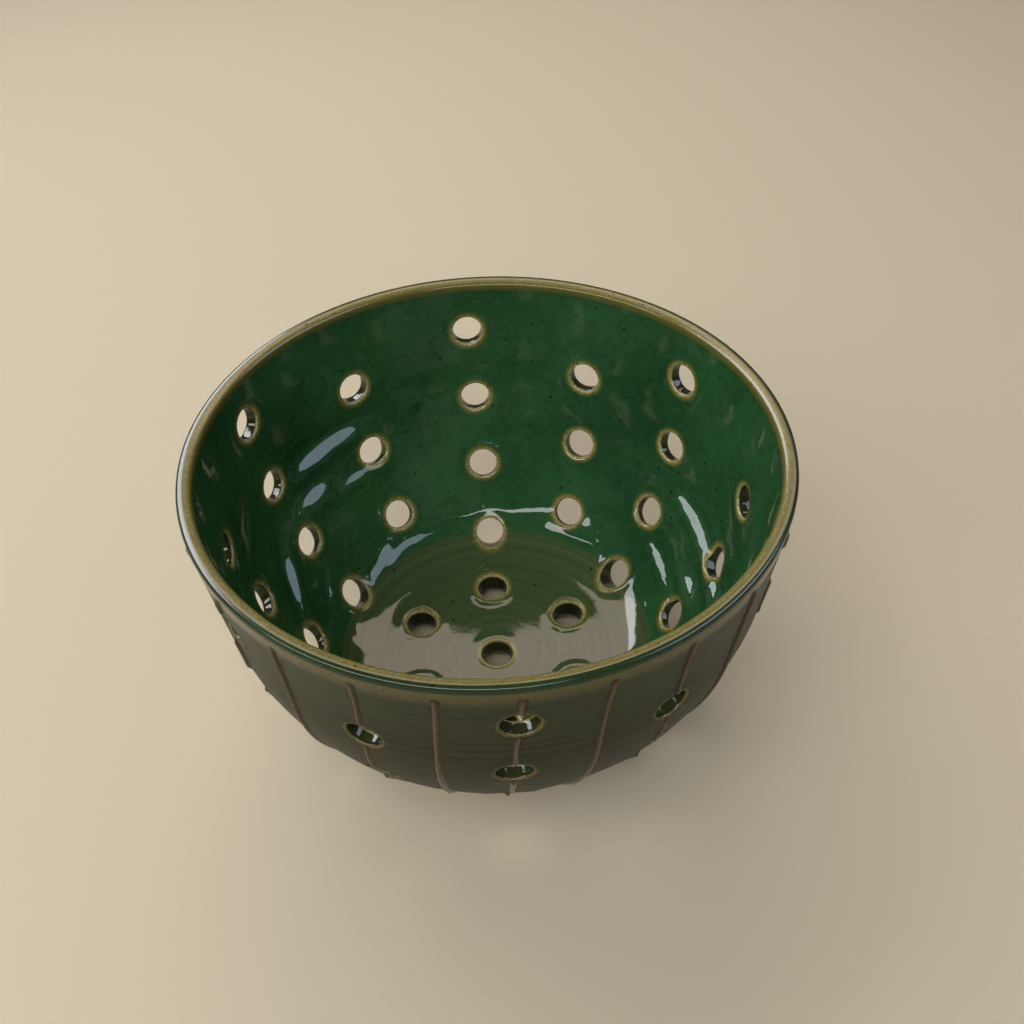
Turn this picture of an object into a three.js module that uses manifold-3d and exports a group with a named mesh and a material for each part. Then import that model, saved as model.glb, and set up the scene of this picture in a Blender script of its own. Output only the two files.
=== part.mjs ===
// Berry bowl: a wheel-thrown stoneware bowl, pierced all over with drain holes, on a low foot ring.
// Lines of slip are trailed down the outside, and every other line is pierced by a column of holes.
// Millimetres, +Z up, origin on the axis at the surface that the foot ring stands on.
import * as THREE from 'three';
import { mergeVertices } from 'three/addons/utils/BufferGeometryUtils.js';
import Module from 'manifold-3d';

// Thrown bowl
const HEIGHT = 100;
const RIM_RADIUS = 82;
const WALL = 4;
const FLOOR = 6;
const FLOOR_ROUND = 14; // length of the soft turn from floor to wall, along each of them
const BASE_RADIUS = 46; // middle of the wall where it leaves the base
const SHOULDER_RADIUS = 73.8; // where the leaning lower wall turns up into the steep upper wall
const SHOULDER_HEIGHT = 48.2;
const SHOULDER_ROUND = 19; // length of that turn, along each wall

// Foot ring
const FOOT_HEIGHT = 4.5;
const FOOT_INSET = 1; // in from the edge of the base
const FOOT_WIDTH = 6;
const FOOT_TAPER = 0.8; // how much the ring narrows on each side towards the ground
const FOOT_CHAMFER = 0.7;

// Drain holes in the wall, in leaning columns that alternate between full and staggered ones
const HOLE_DIAMETER = 9.4;
const COLUMNS = 12;
const FULL_COLUMN_HOLES = 4;
const FIRST_HOLE_DROP = 15; // down the wall from the middle of the lip
const LAST_HOLE_RISE = 10.2; // up the wall from its foot
const STAGGER = 14.3; // how much lower a staggered column starts, with one hole less
const COLUMN_TURN = 1.5; // degrees, of the whole pattern
const COLUMN_LEAN = 4; // degrees, gained from the base up to the lip
// How far each column strays from even spacing, in degrees and in mm down the wall: it is set out by eye
const COLUMN_STRAY = [-0.5, 1.5, -0.8, -1.4, 0, 1.9, 0, 0, 0.7, -1.8, -1.9, 0];
const COLUMN_SAG = [1.3, 0.9, 0.5, 0.4, -3.3, -2, -0.3, 0, -1.2, -0.5, 0, 0];

// Drain holes in the floor: one in the middle and a ring around it
const FLOOR_HOLES = 6;
const FLOOR_HOLE_CLEARANCE = 6.3; // floor left between the ring of holes and the foot ring
const FLOOR_RING_TURN = 31; // degrees

// Slip trails, two for each column of holes
const TRAIL_WIDTH = 2.2;
const TRAIL_HEIGHT = 1;
const TRAIL_START_DROP = 2.5; // down the wall from the middle of the lip
const TRAIL_END_RISE = 16; // up the wall from its foot
const BLOB_DIAMETER = 3.2; // where the nozzle first touches
const TRAIL_TIP = 0.5; // smallest width at a trail's ends
const TRAIL_SEAT = 0.3; // clearance to the wall below
const TRAIL_CUT_CLEARANCE = 0.3; // clearance to the rim of a hole

// Fineness of the facets
const ROUND_STEPS = 60;
const WALL_STEPS = 10;
const TURN_STEPS = 4;
const LIP_STEPS = 6;
const HOLE_SIDES = 14;
const TRAIL_STEPS = 14;
const TRAIL_SECTION_STEPS = 2;

const wasm = await Module();
wasm.setup();

const LIP_CENTRE = new THREE.Vector2(RIM_RADIUS - WALL / 2, HEIGHT - WALL / 2);
const WALL_BASE = new THREE.Vector2(BASE_RADIUS, FOOT_HEIGHT + WALL / 2);
const SHOULDER = new THREE.Vector2(SHOULDER_RADIUS, SHOULDER_HEIGHT);
const FLOOR_TOP = FOOT_HEIGHT + FLOOR;
const HOLE_RADIUS = HOLE_DIAMETER / 2;
const FOOT_OUTER = BASE_RADIUS - FOOT_INSET;
const FOOT_INNER = FOOT_OUTER - FOOT_WIDTH;
const FLOOR_RING_RADIUS = FOOT_INNER - FLOOR_HOLE_CLEARANCE - HOLE_RADIUS;

// A point a given length from one corner of an outline towards another, at most half of the way
function stepTowards(corner, end, length) {
  const side = end.clone().sub(corner);
  return corner.clone().addScaledVector(side, Math.min(length / side.length(), 1 / 2));
}

// The middle of the wall in half section, from the lip down: two straight stretches and a soft shoulder
function makeWallLine() {
  const above = stepTowards(SHOULDER, LIP_CENTRE, SHOULDER_ROUND);
  const below = stepTowards(SHOULDER, WALL_BASE, SHOULDER_ROUND);
  const line = new THREE.Path();
  line.moveTo(LIP_CENTRE.x, LIP_CENTRE.y);
  line.lineTo(above.x, above.y);
  line.quadraticCurveTo(SHOULDER.x, SHOULDER.y, below.x, below.y);
  line.lineTo(WALL_BASE.x, WALL_BASE.y);
  return line;
}

const wallLine = makeWallLine();
const WALL_LENGTH = wallLine.getLength();
const HOLE_PITCH = (WALL_LENGTH - FIRST_HOLE_DROP - LAST_HOLE_RISE) / (FULL_COLUMN_HOLES - 1);

// A place in half section: down the wall from the lip, and out from the middle of the wall
function wallPoint(down, out) {
  const t = THREE.MathUtils.clamp(down / WALL_LENGTH, 0, 1);
  const along = wallLine.getTangent(t);
  const outward = new THREE.Vector2(-along.y, along.x);
  return { point: wallLine.getPoint(t).addScaledVector(outward, out), outward };
}

// Degrees around the bowl of a leaning line; a line half way between two columns has a half number
function lineAngle(column, down) {
  const before = COLUMN_STRAY[Math.floor(column) % COLUMN_STRAY.length];
  const after = COLUMN_STRAY[Math.ceil(column) % COLUMN_STRAY.length];
  const stray = (before + after) / 2;
  return (360 / COLUMNS) * column + stray + COLUMN_TURN + COLUMN_LEAN * (1 - down / WALL_LENGTH);
}

// Half-section coordinates turned to an angle around the axis
function aroundAxis(halfPoint, degrees) {
  const turn = THREE.MathUtils.degToRad(degrees);
  return new THREE.Vector3(halfPoint.x * Math.cos(turn), halfPoint.x * Math.sin(turn), halfPoint.y);
}

function isFullColumn(column) {
  return column % 2 === 1;
}

// Distances down the wall of the holes in one column
function holeDrops(column) {
  const full = isFullColumn(column);
  const first = FIRST_HOLE_DROP + (full ? 0 : STAGGER) + COLUMN_SAG[column % COLUMN_SAG.length];
  const count = full ? FULL_COLUMN_HOLES : FULL_COLUMN_HOLES - 1;
  return Array.from({ length: count }, (_, row) => first + row * HOLE_PITCH);
}

// Revolves a half section about +Z
function revolve(halfPoints) {
  return new THREE.LatheGeometry(halfPoints, ROUND_STEPS).rotateX(Math.PI / 2);
}

// A closed geometry as a solid that can be cut: only positions, shared corners merged, no empty triangles
function toSolid(geometry) {
  const bare = geometry.clone();
  bare.deleteAttribute('normal');
  bare.deleteAttribute('uv');
  const merged = mergeVertices(bare);
  const corners = merged.index.array;
  const triVerts = [];
  for (let i = 0; i < corners.length; i += 3) {
    const [a, b, c] = corners.slice(i, i + 3);
    if (a !== b && b !== c && c !== a) triVerts.push(a, b, c);
  }
  const vertProperties = new Float32Array(merged.getAttribute('position').array);
  return new wasm.Manifold(
    new wasm.Mesh({ numProp: 3, vertProperties, triVerts: new Uint32Array(triVerts) }),
  );
}

function toGeometry(solid) {
  const mesh = solid.getMesh();
  const geometry = new THREE.BufferGeometry();
  geometry.setAttribute('position', new THREE.BufferAttribute(new Float32Array(mesh.vertProperties), 3));
  geometry.setIndex(new THREE.BufferAttribute(new Uint32Array(mesh.triVerts), 1));
  geometry.computeVertexNormals();
  return geometry;
}

// A round cutter of the drain holes, across the material at a place and along a direction
function makeCutter(place, direction, clearance) {
  const radius = HOLE_RADIUS + clearance;
  const reach = 2 * (WALL + FLOOR);
  const cutter = new THREE.CylinderGeometry(radius, radius, reach, HOLE_SIDES);
  const turn = new THREE.Quaternion().setFromUnitVectors(new THREE.Vector3(0, 1, 0), direction);
  cutter.applyQuaternion(turn).translate(place.x, place.y, place.z);
  return toSolid(cutter);
}

// Cutters of one column, each square to the wall
function columnCutters(column, clearance) {
  return holeDrops(column).map((down) => {
    const { point, outward } = wallPoint(down, 0);
    const angle = lineAngle(column, down);
    return makeCutter(aroundAxis(point, angle), aroundAxis(outward, angle), clearance);
  });
}

function floorCutters() {
  const middle = (FOOT_HEIGHT + FLOOR_TOP) / 2;
  const upwards = new THREE.Vector3(0, 0, 1);
  const cutters = [makeCutter(new THREE.Vector3(0, 0, middle), upwards, 0)];
  for (let i = 0; i < FLOOR_HOLES; i += 1) {
    const angle = FLOOR_RING_TURN + (360 / FLOOR_HOLES) * i;
    const place = aroundAxis(new THREE.Vector2(FLOOR_RING_RADIUS, middle), angle);
    cutters.push(makeCutter(place, upwards, 0));
  }
  return cutters;
}

// Half section of the thrown bowl: under the base, up the outside, over the lip, down the inside, floor
function bowlOutline() {
  const points = [new THREE.Vector2(0, FOOT_HEIGHT), new THREE.Vector2(BASE_RADIUS, FOOT_HEIGHT)];
  for (let i = WALL_STEPS; i > 0; i -= 1) {
    points.push(wallPoint((WALL_LENGTH * i) / WALL_STEPS, WALL / 2).point);
  }
  const { outward } = wallPoint(0, 0);
  const start = outward.angle();
  for (let i = 0; i <= LIP_STEPS; i += 1) {
    const angle = start + (Math.PI * i) / LIP_STEPS;
    const side = new THREE.Vector2(Math.cos(angle), Math.sin(angle));
    points.push(LIP_CENTRE.clone().addScaledVector(side, WALL / 2));
  }
  // The inner face runs straight on below the shoulder, so it meets the floor on that line
  const low = wallPoint(WALL_LENGTH, -WALL / 2);
  const slope = new THREE.Vector2(-low.outward.y, low.outward.x);
  const corner = low.point.clone().addScaledVector(slope, (FLOOR_TOP - low.point.y) / slope.y);
  const upTheWall = corner.clone().addScaledVector(slope, FLOOR_ROUND);
  const ontoFloor = stepTowards(corner, new THREE.Vector2(0, FLOOR_TOP), FLOOR_ROUND);
  for (let i = 1; i < WALL_STEPS; i += 1) {
    const { point } = wallPoint((WALL_LENGTH * i) / WALL_STEPS, -WALL / 2);
    if (point.y > upTheWall.y) points.push(point);
  }
  points.push(...new THREE.QuadraticBezierCurve(upTheWall, corner, ontoFloor).getPoints(TURN_STEPS));
  points.push(new THREE.Vector2(0, FLOOR_TOP));
  return points;
}

function makeBowlBody() {
  const cutters = floorCutters();
  for (let column = 0; column < COLUMNS; column += 1) {
    cutters.push(...columnCutters(column, 0));
  }
  const thrown = toSolid(revolve(bowlOutline()));
  return toGeometry(cutters.reduce((solid, cutter) => solid.subtract(cutter), thrown));
}

// A ring of clay set on the flat base, a little narrower where it meets the ground
function makeFootRing() {
  const outline = [
    [FOOT_INNER + FOOT_TAPER + FOOT_CHAMFER, 0],
    [FOOT_OUTER - FOOT_TAPER - FOOT_CHAMFER, 0],
    [FOOT_OUTER - FOOT_TAPER, FOOT_CHAMFER],
    [FOOT_OUTER, FOOT_HEIGHT],
    [FOOT_INNER, FOOT_HEIGHT],
    [FOOT_INNER + FOOT_TAPER, FOOT_CHAMFER],
  ];
  const points = outline.map(([radius, height]) => new THREE.Vector2(radius, height));
  return revolve([...points, points[0].clone()]);
}

// Width of a trail at a distance from its start: a round blob, a steady bead and a round end
function trailWidth(run, length) {
  const blob = BLOB_DIAMETER / 2;
  const blobWidth = 2 * Math.sqrt(Math.max(0, blob ** 2 - (run - blob) ** 2));
  const end = Math.min(run, length - run) / (TRAIL_WIDTH / 2);
  const beadWidth = TRAIL_WIDTH * Math.sqrt(Math.max(0, 1 - Math.max(0, 1 - end) ** 2));
  return Math.max(blobWidth, beadWidth, TRAIL_TIP);
}

// A half-round bead of slip, laid down the outside of the wall along a leaning line to a given drop
function makeTrail(column, endDrop) {
  const length = endDrop - TRAIL_START_DROP;
  const section = new THREE.Shape();
  section.absellipse(0, 0, 1, 1, 0, Math.PI);
  const bead = new THREE.ExtrudeGeometry(section, {
    depth: 1, steps: TRAIL_STEPS, curveSegments: TRAIL_SECTION_STEPS, bevelEnabled: false,
  });
  const position = bead.getAttribute('position');
  for (let i = 0; i < position.count; i += 1) {
    // Rings crowd towards both ends, where the width changes
    const run = (length * (1 - Math.cos(Math.PI * position.getZ(i)))) / 2;
    const down = TRAIL_START_DROP + run;
    const width = trailWidth(run, length);
    const lift = TRAIL_SEAT + position.getY(i) * TRAIL_HEIGHT * (width / TRAIL_WIDTH);
    const angle = lineAngle(column, down);
    const across = aroundAxis(new THREE.Vector2(1, 0), angle + 90);
    const place = aroundAxis(wallPoint(down, WALL / 2 + lift).point, angle);
    place.addScaledVector(across, position.getX(i) * (width / 2));
    position.setXYZ(i, place.x, place.y, place.z);
  }
  return toSolid(bead);
}

function makePlainTrail(column) {
  return makeTrail(column, WALL_LENGTH - TRAIL_END_RISE);
}

// The stretches that a column of holes leaves of its trail, from the lip down to its last hole
function makePiercedTrail(column) {
  const whole = makeTrail(column, Math.max(...holeDrops(column)));
  const cutters = columnCutters(column, TRAIL_CUT_CLEARANCE);
  const pierced = cutters.reduce((solid, cutter) => solid.subtract(cutter), whole);
  const height = (solid) => (solid.boundingBox().min[2] + solid.boundingBox().max[2]) / 2;
  return pierced.decompose().sort((a, b) => height(b) - height(a));
}

function makeGlazedBody() {
  return new THREE.MeshStandardMaterial({ color: 0x28482f, roughness: 0.15, metalness: 0 });
}

function makeGlazedSlip() {
  return new THREE.MeshStandardMaterial({ color: 0x6f6a46, roughness: 0.2, metalness: 0 });
}

function makeBareClay() {
  return new THREE.MeshStandardMaterial({ color: 0xa08468, roughness: 0.85, metalness: 0 });
}

const bowl = new THREE.Group();

function addPiece(name, geometry, material) {
  const piece = new THREE.Mesh(geometry, material);
  piece.name = name;
  bowl.add(piece);
}

addPiece('bowl_body', makeBowlBody(), makeGlazedBody());
addPiece('foot_ring', makeFootRing(), makeBareClay());
for (let column = 0; column < COLUMNS; column += 1) {
  const label = String(column + 1).padStart(2, '0');
  makePiercedTrail(column).forEach((stretch, i) => {
    addPiece(`pierced_trail_${label}_stretch_${i + 1}`, toGeometry(stretch), makeGlazedSlip());
  });
  addPiece(`plain_trail_${label}`, toGeometry(makePlainTrail(column + 1 / 2)), makeGlazedSlip());
}

export default bowl;
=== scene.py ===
"""Berry bowl: a wheel-thrown stoneware bowl pierced with drain holes, under a glossy green glaze.

The pieces are worked out in millimetres and written to their meshes in metres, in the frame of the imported
part: +Z up, with the origin on the bowl's axis at the surface that the foot ring stands on.

A place on the clay has an angle around the axis and a run in millimetres. The run goes down the wall from
the middle of the lip, and then on across the floor towards the axis.
"""

import logging
import math
from dataclasses import dataclass, field
from enum import Enum
from typing import NamedTuple

import bpy
import numpy as np
from mathutils import Matrix, Vector


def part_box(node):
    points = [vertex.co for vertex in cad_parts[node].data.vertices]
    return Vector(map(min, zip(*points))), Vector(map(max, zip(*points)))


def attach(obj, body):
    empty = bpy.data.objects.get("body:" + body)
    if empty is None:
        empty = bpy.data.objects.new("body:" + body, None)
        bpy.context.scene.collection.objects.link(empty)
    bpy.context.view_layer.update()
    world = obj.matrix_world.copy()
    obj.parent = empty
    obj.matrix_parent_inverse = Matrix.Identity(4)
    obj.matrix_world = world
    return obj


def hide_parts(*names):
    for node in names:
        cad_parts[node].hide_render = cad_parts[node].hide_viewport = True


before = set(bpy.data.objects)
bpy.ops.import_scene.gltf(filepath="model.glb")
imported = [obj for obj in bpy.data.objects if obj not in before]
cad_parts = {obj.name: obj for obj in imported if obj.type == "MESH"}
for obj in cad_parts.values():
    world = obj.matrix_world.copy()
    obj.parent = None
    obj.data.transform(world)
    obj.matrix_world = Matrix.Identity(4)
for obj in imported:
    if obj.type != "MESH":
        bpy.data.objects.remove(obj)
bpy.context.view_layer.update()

LOG = logging.getLogger("berry_bowl")
BODY = "root"
MILLIMETRE = 0.001
FULL_COVER = 1e-4  # the least thinness of a glaze that is told apart from none
NOISE_BAND = (0.3, 0.7)  # where nearly all values of a noise texture lie
BY, FROM, TO, MIXED = 0, 6, 7, 2  # numbers of a Mix node's sockets: share, both colours, and the result

Array = np.ndarray
Piece = bpy.types.Object
Socket = bpy.types.NodeSocket
Tree = bpy.types.NodeTree


class Side(Enum):
    """The two faces of the thrown clay, with the sign of the way out of each."""

    OUTER = 1
    INNER = -1


class ColumnKind(Enum):
    """The two kinds of column that alternate around the wall."""

    FULL = "full"
    STAGGERED = "staggered"


class TrailEnd(Enum):
    """How a stretch of slip begins or ends."""

    BLOB = "blob"
    HOLE = "hole"
    TAIL = "tail"


class LampUse(Enum):
    """What a lamp is hung for: to light the scene, or to be mirrored in the glaze."""

    LIGHT = "light"
    SHINE = "shine"


def smooth_step(low: float, high: float, value: Array) -> Array:
    """Ease from 0 to 1: with t the share of the way from low to high, it is 3 t squared less 2 t cubed.

    Args:
        low: where the rise begins.
        high: where it ends.
        value: the values to ease.

    Returns:
        The eased values, from 0 to 1.
    """
    share = np.clip((value - low) / (high - low), 0.0, 1.0)
    return share * share * (3.0 - 2.0 * share)


def blend(first: Array, second: Array, share: Array) -> Array:
    """A share of the way from one value to another."""
    return first + (second - first) * share


def bend(start: Array, control: Array, end: Array, count: int) -> Array:
    """Points of a quadratic bend: start, control and end weighted by (1-t)^2, 2t(1-t) and t^2.

    Args:
        start: first point.
        control: the corner that the bend rounds off.
        end: last point.
        count: number of points, both ends among them.

    Returns:
        The points, one to a row.
    """
    t = np.linspace(0.0, 1.0, count)[:, None]
    return (1 - t) ** 2 * start + 2 * t * (1 - t) * control + t**2 * end


def around(radius: Array, height: Array, angle: Array) -> Array:
    """Turn half-section places about the axis: x is radius cos angle, y is radius sin angle, z the height.

    Args:
        radius: distances from the axis.
        height: heights.
        angle: angles around the axis, in radians.

    Returns:
        The points, with x, y and z on the last axis.
    """
    places = np.broadcast_arrays(radius * np.cos(angle), radius * np.sin(angle), height)
    return np.stack(places, axis=-1)


def turn_to(angle: Array, middle: float) -> Array:
    """Angles measured from a middle, from minus half a turn to half a turn."""
    return (angle - middle + math.pi) % math.tau - math.pi


def cover(thin: Array) -> Array:
    """How well the glaze covers: the root of minus the logarithm of its thinness.

    A halo is a bell curve of the distance from a hole, so its cover grows evenly with that distance and
    stays smooth between the points of a coarse mesh.

    Args:
        thin: how thin the glaze is, from 0 to 1.

    Returns:
        The cover, from 0 where the clay shows most to about 3.
    """
    return np.sqrt(-np.log(np.clip(thin, FULL_COVER, 1.0)))


def grid_quads(ids: Array, wrap_rows: bool = False, wrap_columns: bool = False) -> Array:
    """Quads between the neighbours of a grid of vertex numbers.

    Args:
        ids: vertex numbers, in rows and columns.
        wrap_rows: whether the last row joins the first.
        wrap_columns: whether the last column joins the first.

    Returns:
        Four vertex numbers for each cell, in rows and columns.
    """
    near = ids if wrap_rows else ids[:-1]
    far = np.roll(ids, -1, axis=0) if wrap_rows else ids[1:]
    quads = np.stack([near, np.roll(near, -1, axis=1), np.roll(far, -1, axis=1), far], axis=-1)
    return quads if wrap_columns else quads[:, :-1]


class MeshBuilder:
    """Collects grids of points with their attributes and the quads between them, and writes one mesh."""

    def __init__(self) -> None:
        """Start with no points and no quads."""
        self.points: list[Array] = []
        self.values: dict[str, list[Array]] = {}
        self.quads: list[Array] = []
        self.count = 0

    def add_points(self, grid: Array, **attributes: Array) -> Array:
        """Add a grid of points.

        Args:
            grid: points in millimetres, with x, y and z on the last axis.
            attributes: one value for each point, or one that fits all of them.

        Returns:
            The points' vertex numbers, in the grid's own shape.
        """
        shape = grid.shape[:-1]
        ids = self.count + np.arange(np.prod(shape)).reshape(shape)
        self.count += ids.size
        self.points.append(grid.reshape(-1, 3))
        for name, value in attributes.items():
            self.values.setdefault(name, []).append(np.broadcast_to(value, shape).ravel())
        return ids

    def add_quads(self, quads: Array) -> None:
        """Add quads, four vertex numbers on the last axis."""
        self.quads.append(quads.reshape(-1, 4))

    def make(self, name: str) -> Piece:
        """Write the mesh, without the points that no quad uses.

        Args:
            name: the piece's name.

        Returns:
            A smooth-shaded object at the origin, in metres.
        """
        quads = np.concatenate(self.quads)
        used, corners = np.unique(quads, return_inverse=True)
        points = np.concatenate(self.points)[used] * MILLIMETRE
        mesh = bpy.data.meshes.new(name)
        mesh.vertices.add(len(points))
        mesh.vertices.foreach_set("co", points.astype(np.float32).ravel())
        mesh.loops.add(corners.size)
        mesh.loops.foreach_set("vertex_index", corners.astype(np.int32).ravel())
        mesh.polygons.add(len(quads))
        mesh.polygons.foreach_set("loop_start", np.arange(0, corners.size, 4, dtype=np.int32))
        mesh.polygons.foreach_set("use_smooth", np.ones(len(quads), dtype=bool))
        for attribute, parts in self.values.items():
            layer = mesh.attributes.new(attribute, "FLOAT", "POINT")
            layer.data.foreach_set("value", np.concatenate(parts)[used].astype(np.float32))
        mesh.update(calc_edges=True)
        mesh.validate()
        piece = bpy.data.objects.new(name, mesh)
        bpy.context.scene.collection.objects.link(piece)
        return piece


@dataclass
class WallLine:
    """The middle of the thrown wall in half section: straight, a soft shoulder, and straight again."""

    lip: Array
    shoulder: Array
    base: Array
    shoulder_round: float = 19.0
    overrun: float = 12.0
    samples: int = 200

    def __post_init__(self) -> None:
        """Sample the line from the lip to a little past the base, with its run and outward direction."""
        above = self.step_towards(self.lip)
        below = self.step_towards(self.base)
        turn = bend(above, self.shoulder, below, self.samples)
        down = self.base - below
        past = self.base + down / np.linalg.norm(down) * self.overrun
        self.points = np.vstack([self.lip, turn, self.base, past])
        steps = np.linalg.norm(np.diff(self.points, axis=0), axis=1)
        self.runs = np.concatenate([[0.0], np.cumsum(steps)])
        self.length = float(self.runs[-2])
        along = np.vstack([above - self.lip, np.gradient(turn, axis=0), down, down])
        along /= np.linalg.norm(along, axis=1)[:, None]
        self.along_base = along[-1]
        self.outwards = np.column_stack([-along[:, 1], along[:, 0]])

    def step_towards(self, end: Array) -> Array:
        """The point where the shoulder's turn begins on the side towards an end, at most half way there."""
        side = end - self.shoulder
        return self.shoulder + side * min(self.shoulder_round / np.linalg.norm(side), 0.5)

    def place(self, run: Array, out: Array) -> tuple[Array, Array]:
        """A place in half section, run down the line and out from it.

        Args:
            run: distances down the line from the lip.
            out: distances outwards, square to the line.

        Returns:
            The radius and the height.
        """
        radius, height = (
            np.interp(run, self.runs, at) + out * np.interp(run, self.runs, way)
            for at, way in zip(self.points.T, self.outwards.T)
        )
        return radius, height


@dataclass
class DrainHoles:
    """The pattern of drain holes, set out by eye in leaning columns and in a ring on the floor."""

    wall_length: float
    foot_inner: float
    diameter: float = 9.4
    columns: int = 12
    full_column_holes: int = 4
    first_drop: float = 15.0
    last_rise: float = 10.2
    stagger: float = 14.3
    turn: float = 1.5
    lean: float = 4.0
    stray: tuple[float, ...] = (-0.5, 1.5, -0.8, -1.4, 0, 1.9, 0, 0, 0.7, -1.8, -1.9, 0)
    sag: tuple[float, ...] = (1.3, 0.9, 0.5, 0.4, -3.3, -2, -0.3, 0, -1.2, -0.5, 0, 0)
    floor_holes: int = 6
    floor_clearance: float = 6.3
    floor_turn: float = 31.0

    @property
    def radius(self) -> float:
        """Radius of every hole."""
        return self.diameter / 2

    @property
    def pitch(self) -> float:
        """Distance between the holes of a column."""
        return (self.wall_length - self.first_drop - self.last_rise) / (self.full_column_holes - 1)

    @property
    def floor_ring_radius(self) -> float:
        """Distance of the floor's ring of holes from the axis."""
        return self.foot_inner - self.floor_clearance - self.radius

    def kind(self, column: int) -> ColumnKind:
        """Odd columns are full, and even ones are staggered."""
        return ColumnKind.FULL if column % 2 else ColumnKind.STAGGERED

    def line_angle(self, column: float, run: Array) -> Array:
        """Angle of a leaning line around the bowl; a line between two columns has a half number.

        Args:
            column: the column's number.
            run: distances down the wall.

        Returns:
            Angles in radians, growing by the lean from the base up to the lip.
        """
        before = self.stray[math.floor(column) % self.columns]
        after = self.stray[math.ceil(column) % self.columns]
        upright = 360 / self.columns * column + (before + after) / 2 + self.turn
        return np.radians(upright + self.lean * (1 - np.asarray(run) / self.wall_length))

    def drops(self, column: int) -> list[float]:
        """Distances down the wall of the holes in one column.

        Args:
            column: the column's number.

        Returns:
            The runs, from the lip down.
        """
        full = self.kind(column) is ColumnKind.FULL
        first = self.first_drop + (0 if full else self.stagger) + self.sag[column]
        count = self.full_column_holes - (0 if full else 1)
        return [first + row * self.pitch for row in range(count)]

    def on_wall(self) -> Array:
        """Angle and run of every hole in the wall, one hole to a row."""
        places = ((column, run) for column in range(self.columns) for run in self.drops(column))
        return np.array([(float(self.line_angle(column, run)), run) for column, run in places])

    def floor_angles(self) -> Array:
        """Angles of the ring of holes in the floor."""
        return np.radians(self.floor_turn + 360 / self.floor_holes * np.arange(self.floor_holes))

    def edge_drop(self, edge: Array, edge_round: float) -> Array:
        """Depth of a hole's rounded edge below the face: a quarter circle about a point inside the clay.

        Args:
            edge: distances from the hole's wall, out along the face.
            edge_round: radius of the quarter circle.

        Returns:
            Depths below the face, 0 where the face is flat.
        """
        inward = np.clip(edge_round - edge, 0.0, edge_round)
        return edge_round - np.sqrt(edge_round**2 - inward**2)


@dataclass(frozen=True)
class HandThrown:
    """The unevenness of a face that was drawn up by hand on the wheel."""

    seed: int
    wave_height: float
    ring_height: float
    ring_pitch: float
    swell_height: float
    ripple_height: float = 0.02
    wrinkle_height: float = 0.0
    wave_count: int = 9
    ripple_count: int = 14
    wrinkle_count: int = 12
    wave_lengths: tuple[float, float] = (35.0, 90.0)
    ripple_lengths: tuple[float, float] = (10.0, 26.0)
    wrinkle_lengths: tuple[float, float] = (5.0, 9.0)
    ripple_place: float = 66.0
    ripple_reach: float = 28.0
    ripple_least: float = 0.15
    ring_sway: float = 0.8
    lobes: float = 0.8
    swell_place: float = 2.0
    swell_width: float = 1.3
    calm_lip: float = 9.0
    calm_floor: tuple[float, float] = (85.0, 110.0)
    floor_share: float = 0.2

    def relief(self, place: Array, angle: Array, run: Array, edge: Array) -> Array:
        """Height of the face above its plain form.

        It adds slow waves, finer ripples and small wrinkles, which are sums of plane waves in space; rings
        that climb the wall a little as they go around; and a soft lobed swell around every hole, a bell
        curve of the distance from the hole's edge. The ripples and wrinkles are strongest half way down,
        and all but the swell die away at the lip and are weak on the floor.

        Args:
            place: points near the face.
            angle: angles around the axis.
            run: distances down the wall and on across the floor.
            edge: distances from the nearest hole's edge.

        Returns:
            Heights in millimetres, outwards from the clay.
        """
        random = np.random.default_rng(self.seed)
        slow = self.plane_waves(random, place, self.wave_count, self.wave_lengths)
        fine = self.plane_waves(random, place, self.ripple_count, self.ripple_lengths)
        small = self.plane_waves(random, place, self.wrinkle_count, self.wrinkle_lengths)
        strength = self.ripple_least + np.exp(-(((run - self.ripple_place) / self.ripple_reach) ** 2))
        uneven = strength * (self.ripple_height * fine + self.wrinkle_height * small)
        sway = self.ring_sway * np.sin(2 * angle)
        rings = self.ring_height * np.sin(math.tau * run / self.ring_pitch - angle + sway)
        bell = np.exp(-(((edge - self.swell_place) / self.swell_width) ** 2))
        swell = self.swell_height * (1 + self.lobes * fine) * bell
        calm = smooth_step(0.0, self.calm_lip, run)
        calm = calm * blend(1, self.floor_share, smooth_step(*self.calm_floor, run))
        return (self.wave_height * slow + uneven + rings) * calm + swell

    def plane_waves(
        self, random: np.random.Generator, place: Array, count: int, lengths: tuple[float, float]
    ) -> Array:
        """Sum of sine waves that cross space in many directions, scaled to a height of about 1.

        Args:
            random: where the waves' numbers come from.
            place: points in space.
            count: number of waves.
            lengths: shortest and longest wavelength.

        Returns:
            The sum at every point.
        """
        total = np.zeros(place.shape[:-1])
        for _ in range(count):
            way = random.normal(size=3)
            way *= math.tau / random.uniform(*lengths) / np.linalg.norm(way)
            total += np.sin(place @ way + random.uniform(0.0, math.tau))
        return total / math.sqrt(count)


@dataclass(frozen=True)
class FingerMark:
    """A mark that a finger left inside the wall: a short groove around the bowl, with a ridge below it."""

    angle: float
    run: float
    spread: float
    width: float
    slope: float
    climb: float = 0.0

    def relief(self, angle: Array, run: Array) -> Array:
        """Height of the mark: the slope of a bell curve down the wall, times a bell curve around the bowl.

        Args:
            angle: angles around the axis.
            run: distances down the wall.

        Returns:
            Heights in millimetres, outwards from the clay.
        """
        turned = np.degrees(turn_to(angle, math.radians(self.angle)))
        down = (run - self.run - self.climb * turned) / self.width
        fade = np.exp(-((turned / self.spread) ** 2))
        return self.slope * self.width * down * np.exp(-(down**2) / 2) * fade


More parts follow.
